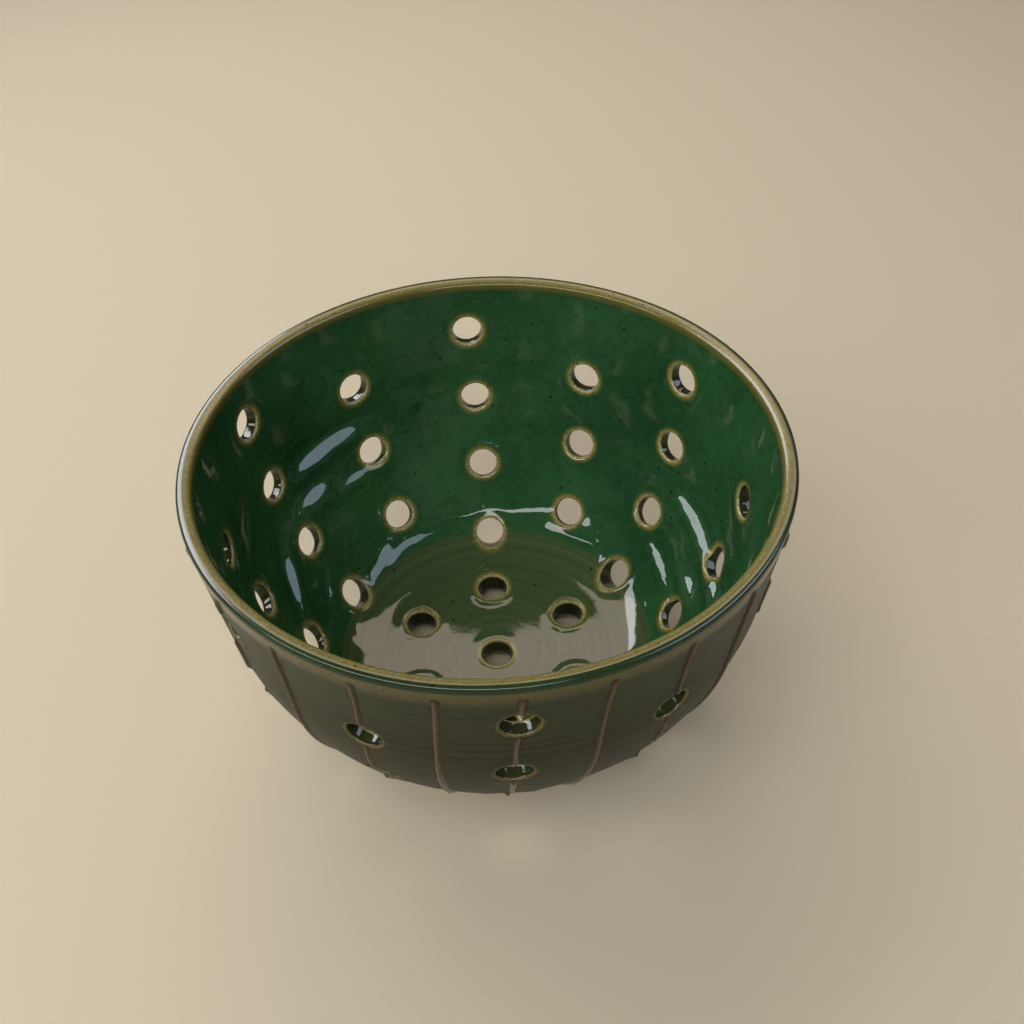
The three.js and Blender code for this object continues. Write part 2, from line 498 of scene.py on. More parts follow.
@dataclass
class WallSheet:
    """The wall of the bowl, pierced by the columns of holes: two faces either side of the middle line."""

    line: WallLine
    holes: DrainHoles
    thickness: float
    floor_top: float
    outside: HandThrown
    inside: HandThrown
    floor_round: float = 10.0
    floor_dish: float = 3.5
    dish_power: float = 2.5
    hollow: float = 1.2
    hollow_from: float = 54.0
    calm_base: tuple[float, float] = (10.0, 2.0)
    finger_marks: tuple[FingerMark, ...] = (
        FingerMark(angle=60, run=81.3, spread=30, width=3.2, slope=0.20, climb=0.13),
        FingerMark(angle=17, run=77.0, spread=22, width=2.4, slope=0.48, climb=-0.31),
        FingerMark(angle=15, run=56.0, spread=16, width=2.2, slope=0.78, climb=-0.23),
        FingerMark(angle=4, run=70.0, spread=8, width=2.6, slope=0.74),
        FingerMark(angle=354, run=59.0, spread=6, width=2.4, slope=0.90),
        FingerMark(angle=142, run=41.5, spread=8, width=3.6, slope=0.64),
        FingerMark(angle=145, run=52.0, spread=9, width=3.6, slope=0.58),
        FingerMark(angle=131, run=40.0, spread=6, width=2.6, slope=0.56),
        FingerMark(angle=134, run=56.3, spread=7, width=2.2, slope=0.42),
        FingerMark(angle=170, run=65.0, spread=7, width=3.2, slope=0.58, climb=1.2),
        FingerMark(angle=162, run=80.0, spread=7, width=1.8, slope=0.44, climb=0.95),
        FingerMark(angle=130, run=82.0, spread=8, width=2.4, slope=0.12, climb=0.6),
    )
    edge_rounds: dict[Side, float] = field(default_factory=lambda: {Side.OUTER: 0.7, Side.INNER: 0.8})

    def __post_init__(self) -> None:
        """Work out the holes' places and the soft turn from the inner face to the floor."""
        self.hole_places = self.holes.on_wall()
        inner = self.hollow - self.thickness / 2
        radius, height = self.line.place(self.line.runs, inner)
        self.floor_radius = np.interp(-self.floor_top, -height, radius)
        flat_radius = self.floor_radius - self.floor_round
        flat_height = self.dished(flat_radius)
        tilt = self.dish_power * (flat_height - self.floor_top) / flat_radius
        flat = self.on_base_line(np.array([flat_radius, flat_height]))
        wall_foot = np.array([self.floor_radius, flat_height + tilt * self.floor_round])
        rise = self.on_base_line(wall_foot) - flat
        corner = flat + rise * (inner - flat[1]) / rise[1]
        turn = bend(np.array([corner[0] - self.floor_round, inner]), corner, flat, self.line.samples)
        self.turn_runs, self.turn_outs = turn[:, 0], turn[:, 1]

    def dished(self, radius: Array) -> Array:
        """Height of the floor, which rises from the axis by a power of the radius."""
        return self.floor_top + self.floor_dish * (radius / self.floor_radius) ** self.dish_power

    def on_base_line(self, place: Array) -> Array:
        """Run and distance out of a place in half section, measured from the straight lower wall."""
        from_base = place - self.line.base
        run = self.line.length + from_base @ self.line.along_base
        return np.array([run, from_base @ self.line.outwards[-1]])

    def plain_inside(self, run: Array) -> Array:
        """The inner face without its relief: hollowed towards the turn that leads to the floor.

        Args:
            run: distances down the wall.

        Returns:
            Distances out from the middle line.
        """
        wall = self.hollow * smooth_step(self.hollow_from, self.turn_runs[0], run) - self.thickness / 2
        return np.where(run < self.turn_runs[0], wall, np.interp(run, self.turn_runs, self.turn_outs))

    def inner_run(self, radius: Array) -> Array:
        """Run down the plain inner face at distances from the axis.

        Args:
            radius: the distances.

        Returns:
            The runs.
        """
        runs = np.linspace(0.0, self.turn_runs[-1], self.line.samples)
        face_radius = self.line.place(runs, self.plain_inside(runs))[0]
        return np.interp(-np.asarray(radius), -face_radius, runs)

    def edge(self, angle: Array, run: Array) -> Array:
        """Distance to the edge of the nearest hole, along the wall.

        Args:
            angle: angles around the axis.
            run: distances down the wall.

        Returns:
            The distances, below 0 inside a hole.
        """
        radius = self.line.place(run, 0.0)[0]
        nearest = np.full(np.broadcast(angle, run).shape, np.inf)
        for hole_angle, hole_run in self.hole_places:
            nearest = np.minimum(nearest, np.hypot(turn_to(angle, hole_angle) * radius, run - hole_run))
        return nearest - self.holes.radius

    def face(self, side: Side, angle: Array, run: Array) -> Array:
        """How far out from the middle line a face lies.

        Args:
            side: which face.
            angle: angles around the axis.
            run: distances down the wall.

        Returns:
            Half the thickness outside, and the hollowed wall and floor's turn inside, with their relief.
        """
        edge, place = self.edge(angle, run), self.point(angle, run, 0.0)
        if side is Side.OUTER:
            fading, still = (self.line.length - rise for rise in self.calm_base)
            relief = self.outside.relief(place, angle, run, edge)
            return self.thickness / 2 + (1 - smooth_step(fading, still, run)) * relief
        relief = self.inside.relief(place, angle, run, edge)
        relief = relief + sum(mark.relief(angle, run) for mark in self.finger_marks)
        return self.plain_inside(run) - relief

    def point(self, angle: Array, run: Array, out: Array) -> Array:
        """Points of the wall in space."""
        return around(*self.line.place(run, out), angle)

    def to_local(self, hole: Array, angle: Array, run: Array, side: Side) -> tuple[Array, Array]:
        """Distances around and down a face from a hole's middle."""
        radius = self.line.place(run, self.face(side, angle, run))[0]
        return turn_to(angle, hole[0]) * radius, run - hole[1]

    def from_local(self, hole: Array, x: Array, y: Array, side: Side) -> tuple[Array, Array]:
        """Angle and run at distances around and down a face from a hole's middle.

        Args:
            hole: angle and run of the hole.
            x: distances around the bowl.
            y: distances down the wall.
            side: which face.

        Returns:
            The angles and the runs.
        """
        run = hole[1] + y
        rough_angle = hole[0] + x / self.line.place(run, 0.0)[0]
        radius = self.line.place(run, self.face(side, rough_angle, run))[0]
        return hole[0] + x / radius, run


@dataclass
class FloorSheet:
    """The floor of the bowl, pierced by the ring of holes: flat below, turning up into the wall above."""

    wall: WallSheet
    base_radius: float
    underside: float
    edge_rounds: dict[Side, float] = field(default_factory=lambda: {Side.OUTER: 1.0, Side.INNER: 0.9})

    def __post_init__(self) -> None:
        """Work out the holes' places and the section of the upper face."""
        angles = self.wall.holes.floor_angles()
        ring_run = self.run_at(self.wall.holes.floor_ring_radius)
        self.hole_places = np.column_stack([angles, np.full(len(angles), ring_run)])
        radius, height = self.wall.line.place(self.wall.turn_runs, self.wall.turn_outs)
        self.turn_radius, self.turn_height = radius[::-1], height[::-1]

    def run_at(self, radius: Array) -> Array:
        """The run at a distance from the axis: the wall's length, and on inwards from the base radius."""
        return self.wall.line.length + self.base_radius - radius

    def radius_at(self, run: Array) -> Array:
        """The distance from the axis at a run."""
        return self.wall.line.length + self.base_radius - run

    def edge(self, angle: Array, run: Array) -> Array:
        """Distance to the edge of the nearest hole, the middle one among them.

        Args:
            angle: angles around the axis.
            run: runs on the floor.

        Returns:
            The distances, below 0 inside a hole.
        """
        radius, ring = self.radius_at(run), self.wall.holes.floor_ring_radius
        nearest = radius + 0.0 * angle
        for hole_angle in self.hole_places[:, 0]:
            x = radius * np.cos(angle - hole_angle) - ring
            nearest = np.minimum(nearest, np.hypot(x, radius * np.sin(angle - hole_angle)))
        return nearest - self.wall.holes.radius

    def face(self, side: Side, angle: Array, run: Array) -> Array:
        """How far down a face lies, so that the underside is the outer one.

        Args:
            side: which face.
            angle: angles around the axis.
            run: runs on the floor.

        Returns:
            Minus the height of the flat underside, or of the dished upper face with its relief.
        """
        if side is Side.OUTER:
            return np.full(np.broadcast(angle, run).shape, -self.underside)
        radius = self.radius_at(run)
        turn = np.interp(radius, self.turn_radius, self.turn_height)
        height = np.where(radius < self.turn_radius[0], self.wall.dished(radius), turn)
        place = self.point(angle, run, -height)
        return -height - self.wall.inside.relief(place, angle, run, self.edge(angle, run))

    def point(self, angle: Array, run: Array, out: Array) -> Array:
        """Points of the floor in space."""
        return around(self.radius_at(run), -out, angle)

    def to_local(self, hole: Array, angle: Array, run: Array, side: Side) -> tuple[Array, Array]:
        """Distances across and inwards from a hole's middle."""
        radius = self.radius_at(run)
        return radius * np.sin(angle - hole[0]), self.radius_at(hole[1]) - radius * np.cos(angle - hole[0])

    def from_local(self, hole: Array, x: Array, y: Array, side: Side) -> tuple[Array, Array]:
        """Angle and run at distances across and inwards from a hole's middle."""
        inwards = self.radius_at(hole[1]) - y
        return hole[0] + np.arctan2(x, inwards), self.run_at(np.hypot(x, inwards))


Sheet = WallSheet | FloorSheet


def hex_to_linear(colour: str) -> tuple[float, float, float, float]:
    """Turn an sRGB hex colour into linear red, green, blue and full opacity.

    Args:
        colour: six hex digits after a hash sign.

    Returns:
        The linear values that a colour socket takes.
    """
    srgb = np.array([int(colour[i : i + 2], 16) for i in (1, 3, 5)]) / 255
    linear = np.where(srgb <= 0.04045, srgb / 12.92, ((srgb + 0.055) / 1.055) ** 2.4)
    return (*linear.tolist(), 1.0)


def per_metre(size: float) -> float:
    """How many features of a size in millimetres fit in a metre, which is a texture's scale."""
    return 1 / (size * MILLIMETRE)


def add_node(
    tree: Tree, kind: str, inputs: dict | list | tuple = (), output: str | int = 0, **settings
) -> Socket | None:
    """Add a shader node with its settings, its values and the links into it.

    Args:
        tree: the node tree.
        kind: the node's type name, after the words that all of them begin with.
        inputs: values or other nodes' outputs, by the socket's name or number or in the sockets' order.
        output: name or number of the output that is wanted.
        settings: the node's own properties.

    Returns:
        That output, or nothing if the node ends the tree.
    """
    node = tree.nodes.new("ShaderNode" + kind)
    for name, value in settings.items():
        setattr(node, name, value)
    for socket, value in inputs.items() if isinstance(inputs, dict) else enumerate(inputs):
        if isinstance(value, Socket):
            tree.links.new(value, node.inputs[socket])
        else:
            node.inputs[socket].default_value = value
    return node.outputs[output] if node.outputs else None


def new_material(name: str) -> tuple[bpy.types.Material, Tree]:
    """Make a material with an empty node tree.

    Args:
        name: the material's name.

    Returns:
        The material and its tree.
    """
    material = bpy.data.materials.new(name)
    material.use_nodes = True
    material.node_tree.nodes.clear()
    return material, material.node_tree


class Clay(NamedTuple):
    """What a glaze reads of the clay under it: place, the piece's own attributes, and noises in space."""

    place: Socket
    cover: Socket
    olive: Socket
    umber: Socket
    run: Socket
    grain: Socket
    clouds: Socket
    mottle: Socket
    feather: Socket
    peel: Socket


@dataclass(frozen=True)
class CopperGreenGlaze:
    """Glossy copper-green stoneware glaze, fired over a speckled iron-bearing body.

    The glaze is a deep clouded green where it lies thick. It breaks to amber and then to a pale olive buff
    where it ran thin over the lip, around the holes and on the crests of the slip, with a feathered edge.
    Iron from the clay comes through as small dark specks, and rusty ones where the glaze is thin. It is
    brown and satin outside, where it is thinner and drier.
    """

    name: str
    deep: str = "#214629"
    clear: str = "#336139"
    olive: str = "#415432"
    pale_olive: str = "#4b5d39"
    umber: str = "#141108"
    pale_umber: str = "#2f2611"
    amber: str = "#737132"
    toffee: str = "#6a5a33"
    buff: str = "#aca273"
    speck: str = "#120d08"
    rust: str = "#5e3418"
    cloud: float = 34.0
    mottle: float = 2.4
    mottle_share: float = 0.6
    clear_from: tuple[float, float] = (0.45, 1.15)
    pool_from: tuple[float, float] = (0.85, 1.15)
    amber_from: tuple[float, float] = (0.04, 0.55)
    buff_from: tuple[float, float] = (0.55, 1.0)
    feather: float = 0.5
    ragged: float = 0.6
    speck_spacing: float = 2.8
    speck_size: tuple[float, float] = (0.4, -0.2)
    speck_edge: float = 0.03
    speck_strength: float = 0.85
    line_width: float = 1.8
    line_depth: float = 0.03
    peel: float = 1.4
    peel_depth: float = 0.006
    index: float = 1.33
    gloss: tuple[float, float] = (0.03, 0.06)
    satin: float = 0.48
    dry: float = 0.14
    dry_from: tuple[float, float] = (0.4, 0.75)
    # run of the painted crease highlight: a pale line along the floor's crease that stands in for a highlight
    crease_highlight: float = 0.0
    crease_highlight_edges: tuple[float, float] = (0.1, 0.5)
    # how pale the painted crease highlight is, added to the glaze's thinness
    crease_highlight_strength: float = 0.2

    def material(self) -> bpy.types.Material:
        """Make the material.

        Returns:
            A material that reads the piece's cover, olive, umber, run and grain attributes.
        """
        material, tree = new_material(self.name)
        place = add_node(tree, "TexCoord", output="Object")
        names = ("cover", "olive", "umber", "run", "grain")
        read = (add_node(tree, "Attribute", output="Fac", attribute_name=name) for name in names)
        noises = (
            add_node(tree, "TexNoise", {"Vector": place, "Scale": per_metre(size), "Detail": detail})
            for size, detail in ((self.cloud, 3.0), (self.mottle, 4.0), (self.feather, 3.0), (self.peel, 3.0))
        )
        clay = Clay(place, *read, *noises)
        lines = self.throwing_lines(tree, clay)
        thin = self.thinness(tree, clay)
        colour = self.thick_colour(tree, clay, lines)
        colour = self.broken_colour(tree, clay, colour, thin)
        colour = self.specked_colour(tree, clay, colour, thin)
        gloss = add_node(tree, "MapRange", [clay.mottle, *NOISE_BAND, *self.gloss])
        dull = add_node(tree, "Math", [clay.umber, clay.grain], operation="MULTIPLY")
        satin = add_node(tree, "Math", [dull, self.satin, gloss], operation="MULTIPLY_ADD")
        dry = add_node(tree, "MapRange", [thin, *self.dry_from, 0.0, self.dry])
        rough = add_node(tree, "Math", [satin, dry], operation="ADD")
        normal = self.surface(tree, clay, lines, dull)
        shader = add_node(
            tree,
            "BsdfPrincipled",
            {"Base Color": colour, "Roughness": rough, "IOR": self.index, "Normal": normal},
        )
        add_node(tree, "OutputMaterial", [shader])
        return material

    def throwing_lines(self, tree: Tree, clay: Clay) -> Socket:
        """Uneven lines that follow the turning of the wheel: noise along the run alone.

        Args:
            tree: the material's tree.
            clay: what the glaze reads.

        Returns:
            The lines, from 0 to 1.
        """
        along = add_node(tree, "Math", [clay.run, 1 / self.line_width], operation="MULTIPLY")
        lines = add_node(tree, "TexNoise", {"W": along, "Scale": 1.0, "Detail": 2.0}, noise_dimensions="1D")
        return add_node(tree, "MapRange", [lines, *NOISE_BAND])

    def thinness(self, tree: Tree, clay: Clay) -> Socket:
        """How thin the glaze is: e to the power of minus the cover squared.

        A painted highlight is added to it where olive is 1: a fine pale line along the crease where the floor
        turns up into the wall.
        The sum is then made grainy: it is multiplied by one more than a share of fine noise.

        Args:
            tree: the material's tree.
            clay: what the glaze reads.

        Returns:
            The thinness, about from 0 to 1.
        """
        square = add_node(tree, "Math", [clay.cover, clay.cover], operation="MULTIPLY")
        minus = add_node(tree, "Math", [square, -1.0], operation="MULTIPLY")
        thin = add_node(tree, "Math", [minus], operation="EXPONENT")
        # painted highlight: a pale line along the floor's crease, added to the thinness where olive is 1
        off = add_node(tree, "Math", [clay.run, self.crease_highlight], operation="SUBTRACT")
        off = add_node(tree, "Math", [off], operation="ABSOLUTE")
        crease_highlight = add_node(tree, "MapRange", [off, *self.crease_highlight_edges, self.crease_highlight_strength, 0.0])
        thin = add_node(tree, "Math", [crease_highlight, clay.olive, thin], operation="MULTIPLY_ADD")
        ragged = add_node(tree, "MapRange", [clay.feather, *NOISE_BAND, -self.ragged, self.ragged])
        factor = add_node(tree, "Math", [ragged, clay.grain, 1.0], operation="MULTIPLY_ADD")
        return add_node(tree, "Math", [thin, factor], operation="MULTIPLY")

    def thick_colour(self, tree: Tree, clay: Clay, lines: Socket) -> Socket:
        """Colour of the glaze where it lies thick.

        It is clouds and mottling of two greens, olive where it pooled, and brown by the share of umber.

        Args:
            tree: the material's tree.
            clay: what the glaze reads.
            lines: the throwing lines.

        Returns:
            The colour.
        """
        mottled = [clay.mottle, self.mottle_share, clay.clouds]
        light = add_node(tree, "Math", mottled, operation="MULTIPLY_ADD")
        light = add_node(tree, "MapRange", [light, *self.clear_from], interpolation_type="SMOOTHSTEP")
        pool = add_node(tree, "Math", [clay.clouds, clay.olive], operation="ADD")
        pool = add_node(tree, "MapRange", [pool, *self.pool_from], interpolation_type="SMOOTHSTEP")
        pairs = (
            (light, self.deep, self.clear),
            (lines, self.olive, self.pale_olive),
            (lines, self.umber, self.pale_umber),
        )
        green, olive, brown = (
            add_node(
                tree,
                "Mix",
                {BY: share, FROM: hex_to_linear(dark), TO: hex_to_linear(pale)},
                MIXED,
                data_type="RGBA",
            )
            for share, dark, pale in pairs
        )
        colour = add_node(tree, "Mix", {BY: pool, FROM: green, TO: olive}, MIXED, data_type="RGBA")
        return add_node(tree, "Mix", {BY: clay.umber, FROM: colour, TO: brown}, MIXED, data_type="RGBA")

    def broken_colour(self, tree: Tree, clay: Clay, thick: Socket, thin: Socket) -> Socket:
        """Break the glaze to amber, or to toffee where it is brown, and then to buff where it is thin.

        Args:
            tree: the material's tree.
            clay: what the glaze reads.
            thick: colour of the thick glaze.
            thin: how thin the glaze is.

        Returns:
            The colour.
        """
        buff = hex_to_linear(self.buff)
        ambers = {BY: clay.umber, FROM: hex_to_linear(self.amber), TO: hex_to_linear(self.toffee)}
        amber = add_node(tree, "Mix", ambers, MIXED, data_type="RGBA")
        colour = thick
        for band, breaking in ((self.amber_from, amber), (self.buff_from, buff)):
            share = add_node(tree, "MapRange", [thin, *band], interpolation_type="SMOOTHSTEP")
            colour = add_node(tree, "Mix", {BY: share, FROM: colour, TO: breaking}, MIXED, data_type="RGBA")
        return colour

    def specked_colour(self, tree: Tree, clay: Clay, glaze: Socket, thin: Socket) -> Socket:
        """Scatter iron specks: a dot of its own size at the middle of some of the cells of the clay.

        Args:
            tree: the material's tree.
            clay: what the glaze reads.
            glaze: colour of the glaze.
            thin: how thin the glaze is.

        Returns:
            The colour.
        """
        scale = per_metre(self.speck_spacing)
        distance = add_node(tree, "TexVoronoi", {"Vector": clay.place, "Scale": scale}, "Distance")
        chance = add_node(tree, "SeparateColor", [distance.node.outputs["Color"]], "Red")
        size = add_node(tree, "Math", [chance, *self.speck_size], operation="MULTIPLY_ADD")
        inside = add_node(tree, "Math", [size, distance], operation="SUBTRACT")
        dot = add_node(tree, "MapRange", [inside, 0.0, self.speck_edge, 0.0, self.speck_strength])
        irons = {BY: thin, FROM: hex_to_linear(self.speck), TO: hex_to_linear(self.rust)}
        iron = add_node(tree, "Mix", irons, MIXED, data_type="RGBA")
        return add_node(tree, "Mix", {BY: dot, FROM: glaze, TO: iron}, MIXED, data_type="RGBA")

    def surface(self, tree: Tree, clay: Clay, lines: Socket, dull: Socket) -> Socket:
        """Fine relief of the glaze: a faint orange peel, over the throwing lines where the glaze is dull.

        Args:
            tree: the material's tree.
            clay: what the glaze reads.
            lines: the throwing lines.
            dull: how dull the glaze is, from 0 to 1.

        Returns:
            The bent normal.
        """
        height = add_node(tree, "Math", [lines, dull], operation="MULTIPLY")
        rings = add_node(tree, "Bump", {"Height": height, "Distance": self.line_depth * MILLIMETRE})
        depth = self.peel_depth * MILLIMETRE
        return add_node(tree, "Bump", {"Height": clay.peel, "Distance": depth, "Normal": rings})


@dataclass(frozen=True)
class BareStoneware:
    """Unglazed stoneware, turned on the wheel and fired: a dry, toasted buff clay.

    It is matt and slightly gritty, with darker grog in the clay and fine lines from the turning tool.
    """

    name: str
    clay: str = "#a98a68"
    toasted: str = "#8a6745"
    grog: str = "#4c3726"
    patch: float = 9.0
    grain: float = 0.5
    grain_depth: float = 0.06
    grog_spacing: float = 1.8
    grog_edges: tuple[float, float] = (0.1, 0.18)
    grog_strength: float = 0.7
    line_width: float = 0.7
    line_depth: float = 0.08
    roughness: float = 0.85

    def material(self) -> bpy.types.Material:
        """Make the material.

        Returns:
            A material that reads the piece's run attribute for the turning lines.
        """
        material, tree = new_material(self.name)
        place = add_node(tree, "TexCoord", output="Object")
        run = add_node(tree, "Attribute", output="Fac", attribute_name="run")
        patches, grain = (
            add_node(tree, "TexNoise", {"Vector": place, "Scale": per_metre(size), "Detail": detail})
            for size, detail in ((self.patch, 5.0), (self.grain, 2.0))
        )
        clays = {BY: patches, FROM: hex_to_linear(self.clay), TO: hex_to_linear(self.toasted)}
        clay = add_node(tree, "Mix", clays, MIXED, data_type="RGBA")
        cells = add_node(tree, "TexVoronoi", {"Vector": place, "Scale": per_metre(self.grog_spacing)})
        dot = add_node(tree, "MapRange", [cells, *self.grog_edges, self.grog_strength, 0.0])
        grogged = {BY: dot, FROM: clay, TO: hex_to_linear(self.grog)}
        colour = add_node(tree, "Mix", grogged, MIXED, data_type="RGBA")
        along = add_node(tree, "Math", [run, 1 / self.line_width], operation="MULTIPLY")
        lines = add_node(tree, "TexNoise", {"W": along, "Scale": 1.0, "Detail": 1.0}, noise_dimensions="1D")
        turned = add_node(tree, "Bump", {"Height": lines, "Distance": self.line_depth * MILLIMETRE})
        depth = self.grain_depth * MILLIMETRE
        gritty = add_node(tree, "Bump", {"Height": grain, "Distance": depth, "Normal": turned})
        finish = {"Base Color": colour, "Roughness": self.roughness, "Normal": gritty}
        add_node(tree, "OutputMaterial", [add_node(tree, "BsdfPrincipled", finish)])
        return material


def fit_piece(piece: Piece, node: str, material: bpy.types.Material) -> None:
    """Let a piece ride on the part, stand for its solid and wear its finish, and report it.

    Args:
        piece: the new piece.
        node: the solid that it stands for.
        material: its finish.
    """
    piece.data.materials.append(material)
    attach(piece, BODY)
    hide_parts(node)
    LOG.info("%s: %d faces for %s", piece.name, len(piece.data.polygons), node)


@dataclass
class ThrownBowl:
    """The thrown and pierced bowl: one closed grid around the axis, with a collar through every hole."""

    wall: WallSheet
    floor: FloorSheet
    foot_outer: float
    columns: int = 288
    run_step: float = 1.35
    base_gap: float = 1.2
    foot_gap: float = 0.3
    lip_rows: int = 13
    lip_power: float = 0.77
    lip_rise: float = 0.94
    lip_slope: float = 0.3
    corner_rows: int = 6
    collar_margin: float = 2.6
    spread_rows: int = 5
    edge_rows: int = 3
    tube_rows: int = 2
    thin_reach: float = 1.6
    outside_thin_reach: float = 0.9
    outside_thin: float = 0.5
    under_lip_thin: float = 0.3
    under_lip_runs: tuple[float, float] = (1.0, 9.0)
    lip_thin: float = 0.68
    lip_thin_turn: tuple[float, float] = (65.0, 100.0)
    lip_edge_thin: float = 0.4
    lip_edge_turn: tuple[float, float] = (115.0, 180.0)
    lip_thin_reach: float = 2.7
    lip_grain: float = 0.35
    lip_grain_runs: tuple[float, float] = (2.0, 6.0)
    tube_thin: float = 0.1
    # dark brown of a hole's tube: partly thick glaze there, partly painted shade inside the hole
    tube_umber_and_shade: float = 0.8
    tube_grain: float = 0.1
    tube_from: float = 0.3
    lip_umber: float = 0.4
    lip_umber_turn: tuple[float, float] = (50.0, 105.0)
    under_lip_umber: float = 0.66
    outside_umber: float = 0.9
    brown_runs: tuple[tuple[float, float], ...] = ((0.5, 3.0), (6.0, 28.0))
    underside_thin: float = 0.3
    underside_reach: float = 3.0
    olive_radii: tuple[float, float] = (51.0, 47.5)

    def __post_init__(self) -> None:
        """Choose the rows that both faces of the wall, and both faces of the floor, have in common."""
        low = self.wall.line.length - self.base_gap
        self.wall_runs = np.linspace(0.0, low, round(low / self.run_step) + 1)
        holes = self.wall.holes
        first, last = holes.foot_inner, holes.radius + self.collar_margin
        radii = np.linspace(first, last, round((first - last) / self.run_step) + 1)
        self.floor_runs = self.floor.run_at(radii)
        self.olive_runs = self.wall.inner_run(self.olive_radii)
        self.angles = math.tau * np.arange(self.columns) / self.columns
        self.tube_share = np.linspace(0.0, 1.0, self.tube_rows + 2)[1:-1, None, None]
        self.builder = MeshBuilder()

    def looks(self, side: Side, run: Array, edge: Array) -> dict[str, Array]:
        """The attributes that the glaze reads on one face.

        Args:
            side: which face.
            run: distances down the wall and across the floor.
            edge: distances from the nearest hole's edge.

        Returns:
            Cover, olive, umber, run and grain.
        """
        length = self.wall.line.length
        if side is Side.INNER:
            near_lip = 1 - smooth_step(0.0, self.lip_thin_reach, run)
            thin = np.exp(-((edge / self.thin_reach) ** 2))
            thin = np.maximum(thin, self.lip_edge_thin * near_lip)
            olive = smooth_step(*self.olive_runs, run)
            umber = self.lip_umber * near_lip
        else:
            thin = self.outside_thin * np.exp(-((edge / self.outside_thin_reach) ** 2))
            thin = np.maximum(thin, self.under_lip_thin * (1 - smooth_step(*self.under_lip_runs, run)))
            below = smooth_step(length - self.underside_reach, length, run)
            thin = np.maximum(thin, self.underside_thin * below)
            olive = 0.0
            brown = sum(smooth_step(*runs, run) for runs in self.brown_runs) / len(self.brown_runs)
            umber = blend(self.under_lip_umber, self.outside_umber, brown)
        grain = blend(self.lip_grain, 1, smooth_step(*self.lip_grain_runs, run))
        values = {"cover": cover(thin), "olive": olive, "umber": umber, "run": run, "grain": grain}
        return {name: value + 0 * edge for name, value in values.items()}

    def face_rows(self, sheet: Sheet, side: Side, runs: Array) -> Array:
        """Add the rows of one face of a sheet, each row once around the bowl.

        Args:
            sheet: the wall or the floor.
            side: which face.
            runs: the rows' runs.

        Returns:
            Vertex numbers, a row for each run.
        """
        run = runs[:, None] + 0 * self.angles
        angle = self.angles + 0 * run
        points = sheet.point(angle, run, sheet.face(side, angle, run))
        return self.builder.add_points(points, **self.looks(side, run, sheet.edge(angle, run)))

    def lip(self) -> Array:
        """Add the rows over the lip: half a squarish ellipse about the end of the wall's middle line.

        The two sides of the ellipse, across and up, are the cosine and sine to a power below 1. The height
        grows with the distance across, so the top slopes down to the inside.

        Returns:
            Vertex numbers, from the outside to the inside.
        """
        line, half = self.wall.line, self.wall.thickness / 2
        over = np.linspace(0.0, math.pi, self.lip_rows + 2)[1:-1, None] + 0 * self.angles
        across = np.sign(np.cos(over)) * np.abs(np.cos(over)) ** self.lip_power
        up = self.lip_rise * np.sin(over) ** self.lip_power * (1 + self.lip_slope * across)
        out_x, out_z = line.outwards[0]
        radius = line.lip[0] + half * (across * out_x - up * out_z)
        height = line.lip[1] + half * (across * out_z + up * out_x)
        thin_share, edge_share, inner_share = (
            smooth_step(*np.radians(turn), over)
            for turn in (self.lip_thin_turn, self.lip_edge_turn, self.lip_umber_turn)
        )
        thin = self.lip_thin * thin_share - (self.lip_thin - self.lip_edge_thin) * edge_share
        return self.builder.add_points(
            around(radius, height, self.angles),
            cover=cover(thin),
            olive=0.0,
            umber=blend(self.under_lip_umber, self.lip_umber, inner_share),
            run=-half * np.minimum(over, math.pi - over),
            grain=self.lip_grain,
        )

    def middle_hole(self) -> Array:
        """Add the rows through the hole in the middle of the floor: rounded edge, tube, rounded edge.

        Returns:
            Vertex numbers, from the floor to the underside.
        """
        holes, floor = self.wall.holes, self.floor
        turn = np.linspace(0.0, math.pi / 2, self.edge_rows + 1)
        faces = {}
        for side, edge_round in floor.edge_rounds.items():
            run = floor.run_at(holes.radius + edge_round * (1 - np.sin(turn)))[:, None] + 0 * self.angles
            angle = self.angles + 0 * run
            depth = edge_round * (1 - np.cos(turn))[:, None]
            faces[side] = floor.point(angle, run, floor.face(side, angle, run) - side.value * depth)
        top, bottom = faces[Side.INNER], faces[Side.OUTER][::-1]
        tube = blend(top[-1], bottom[0], self.tube_share)
        rim = blend(1, self.tube_thin, smooth_step(0.0, math.pi / 2, turn))
        thin = np.concatenate([rim, np.full(self.tube_rows, self.tube_thin), rim[::-1]])[:, None]
        return self.builder.add_points(
            np.concatenate([top, tube, bottom]),
            cover=cover(thin),
            olive=1.0,
            # the dark tube is partly thick glaze and partly painted shade inside the hole
            umber=self.tube_umber_and_shade * (1 - thin),
            run=floor.run_at(holes.radius),
            grain=self.tube_grain,
        )

    def base_corner(self) -> Array:
        """Add the rows from the underside over the soft corner at the foot of the wall.

        Returns:
            Vertex numbers, from the underside to the wall.
        """
        line, half, underside = self.wall.line, self.wall.thickness / 2, self.floor.underside
        radius, height = line.place(line.runs, half)
        corner = np.array([np.interp(-underside, -height, radius), underside])
        wall_end = np.array(line.place(self.wall_runs[-1], half))
        foot = np.array([self.foot_outer + self.foot_gap, underside])
        hidden = np.linspace(self.wall.holes.foot_inner, foot[0], self.corner_rows)[1:-1]
        flat = np.column_stack([hidden, np.full(len(hidden), underside)])
        section = np.vstack([flat, bend(foot, corner, wall_end, self.corner_rows)[:-1]])
        return self.builder.add_points(
            around(section[:, :1], section[:, 1:], self.angles),
            cover=cover(self.underside_thin),
            olive=0.0,
            umber=self.outside_umber,
            run=line.length,
            grain=self.lip_grain,
        )

